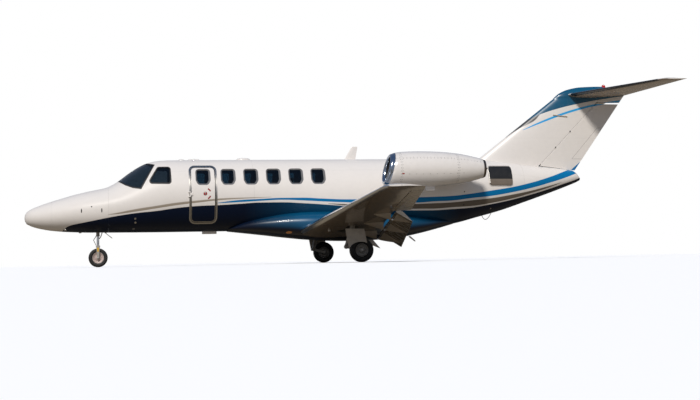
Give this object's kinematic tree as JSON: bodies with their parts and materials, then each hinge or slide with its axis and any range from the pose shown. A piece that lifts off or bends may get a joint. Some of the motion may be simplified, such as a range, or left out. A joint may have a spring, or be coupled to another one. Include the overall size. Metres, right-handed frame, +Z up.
{
  "type": "business jet",
  "caption": "Light low-wing business jet on its gear, with rear-mounted engines, a T-tail, deployed flaps and a hollow cabin behind a hinged door.",
  "frame": {"origin": "on the ground under the middle of the overall length and the plane of symmetry", "axes": "+X aft, nose at -X, +Y to starboard, +Z up"},
  "size_m": [15.59, 16.26, 4.505],
  "materials": {
    "white_paint": "gloss white",
    "blue_paint": "gloss dark blue",
    "glass": "tinted",
    "bare_metal": "polished",
    "gear_paint": "satin grey",
    "dark_metal": "heat darkened",
    "rubber": "matte",
    "trim": "carpet",
    "leather": "beige leather",
    "panel_black": "matte black"
  },
  "bodies": {
    "body": {"radome": "white_paint", "nose_section": "white_paint", "cabin_shell": "white_paint", "windshield_left": "glass", "windshield_right": "glass", "cockpit_window_left": "glass", "cockpit_window_right": "glass", "cabin_windows_left": "glass", "cabin_windows_right": "glass", "cabin_floor": "trim", "instrument_panel": "panel_black", "cockpit_seats": "leather", "cabin_seats_left": "leather", "cabin_seats_right": "leather", "tail_cone": "white_paint", "belly_fairing": "blue_paint", "wing_left": "white_paint", "wing_right": "white_paint", "fin": "white_paint", "fin_cap": "blue_paint", "tailplane": "white_paint", "nacelle_left": "white_paint", "nacelle_right": "white_paint", "engine_left": "dark_metal", "engine_right": "dark_metal", "pylon_left": "white_paint", "pylon_right": "white_paint", "nose_leg": "gear_paint", "nose_gear_door": "white_paint", "main_leg_left": "gear_paint", "main_leg_right": "gear_paint", "trailing_link_left": "gear_paint", "trailing_link_right": "gear_paint", "gear_door_left": "white_paint", "gear_door_right": "white_paint", "roof_antenna": "white_paint"},
    "door": {"cabin_door": "white_paint", "door_window": "glass"},
    "steering_fork": {"nose_fork": "gear_paint"},
    "nose_wheel": {"nose_tyre": "rubber", "nose_hub": "bare_metal"},
    "main_wheel_left": {"main_tyre_left": "rubber", "main_hub_left": "bare_metal"},
    "fan_left": {"fan_left": "bare_metal"},
    "flap_left": {"flap_left": "white_paint"},
    "aileron_left": {"aileron_left": "white_paint"},
    "elevator_left": {"elevator_left": "white_paint"},
    "paddle_left": {"paddle_left": "panel_black"},
    "main_wheel_right": {"main_tyre_right": "rubber", "main_hub_right": "bare_metal"},
    "fan_right": {"fan_right": "bare_metal"},
    "flap_right": {"flap_right": "white_paint"},
    "aileron_right": {"aileron_right": "white_paint"},
    "elevator_right": {"elevator_right": "white_paint"},
    "paddle_right": {"paddle_right": "panel_black"},
    "rudder": {"rudder": "white_paint"}
  },
  "joints": [
    {"name": "door_hinge", "type": "hinge", "parent": "body", "child": "door", "pos_m": [-3.89, -0.835, 1.7], "axis": [0, 0, -1], "range_deg": [0, 115]},
    {"name": "nose_steer", "type": "hinge", "parent": "body", "child": "steering_fork", "pos_m": [-6.075, 0, 0.522], "axis": [0, 0, 1], "range_deg": [-20, 20]},
    {"name": "nose_wheel_spin", "type": "hinge", "parent": "steering_fork", "child": "nose_wheel", "pos_m": [-6.075, 0, 0.2285], "axis": [0, 1, 0], "continuous": true},
    {"name": "main_wheel_spin_left", "type": "hinge", "parent": "body", "child": "main_wheel_left", "pos_m": [-0.115, -2.637, 0.2795], "axis": [0, 1, 0], "continuous": true},
    {"name": "fan_spin_left", "type": "hinge", "parent": "body", "child": "fan_left", "pos_m": [1.35, -1.4, 2.225], "axis": [1, 0, 0], "continuous": true},
    {"name": "flap_hinge_left", "type": "hinge", "parent": "body", "child": "flap_left", "pos_m": [0.53808, -1.17, 0.49236], "axis": [0.0933, 0.987, -0.1311], "range_deg": [-35, 25]},
    {"name": "aileron_hinge_left", "type": "hinge", "parent": "body", "child": "aileron_left", "pos_m": [0.18758, -4.635, 1.13999], "axis": [0.0936, 0.9919, -0.0856], "range_deg": [-20, 20]},
    {"name": "elevator_hinge_left", "type": "hinge", "parent": "body", "child": "elevator_left", "pos_m": [7.00091, -0.17, 4.225], "axis": [-0.1923, 0.9813, 0], "range_deg": [-19, 15]},
    {"name": "paddle_hinge_left", "type": "hinge", "parent": "body", "child": "paddle_left", "pos_m": [3.605, -0.65684, 1.93707], "axis": [0, -0.3817, -0.9243], "range_deg": [0, 60]},
    {"name": "main_wheel_spin_right", "type": "hinge", "parent": "body", "child": "main_wheel_right", "pos_m": [-0.115, 2.637, 0.2795], "axis": [0, 1, 0], "continuous": true},
    {"name": "fan_spin_right", "type": "hinge", "parent": "body", "child": "fan_right", "pos_m": [1.35, 1.4, 2.225], "axis": [1, 0, 0], "continuous": true},
    {"name": "flap_hinge_right", "type": "hinge", "parent": "body", "child": "flap_right", "pos_m": [0.53808, 1.17, 0.49236], "axis": [-0.0933, 0.987, 0.1311], "range_deg": [-35, 25]},
    {"name": "aileron_hinge_right", "type": "hinge", "parent": "body", "child": "aileron_right", "pos_m": [0.18758, 4.635, 1.13999], "axis": [-0.0936, 0.9919, 0.0856], "range_deg": [-20, 20]},
    {"name": "elevator_hinge_right", "type": "hinge", "parent": "body", "child": "elevator_right", "pos_m": [7.00091, 0.17, 4.225], "axis": [0.1923, 0.9813, 0], "range_deg": [-19, 15]},
    {"name": "paddle_hinge_right", "type": "hinge", "parent": "body", "child": "paddle_right", "pos_m": [3.605, 0.65684, 1.93707], "axis": [0, -0.3817, 0.9243], "range_deg": [0, 60]},
    {"name": "rudder_hinge", "type": "hinge", "parent": "body", "child": "rudder", "pos_m": [5.11679, 0, 2.377], "axis": [0.7027, 0, 0.7115], "range_deg": [-22, 22]}
  ],
  "couplings": [
    {"joint": "flap_hinge_right", "follows": "flap_hinge_left", "ratio": 1},
    {"joint": "aileron_hinge_right", "follows": "aileron_hinge_left", "ratio": -1},
    {"joint": "elevator_hinge_right", "follows": "elevator_hinge_left", "ratio": 1},
    {"joint": "paddle_hinge_right", "follows": "paddle_hinge_left", "ratio": 1}
  ]
}
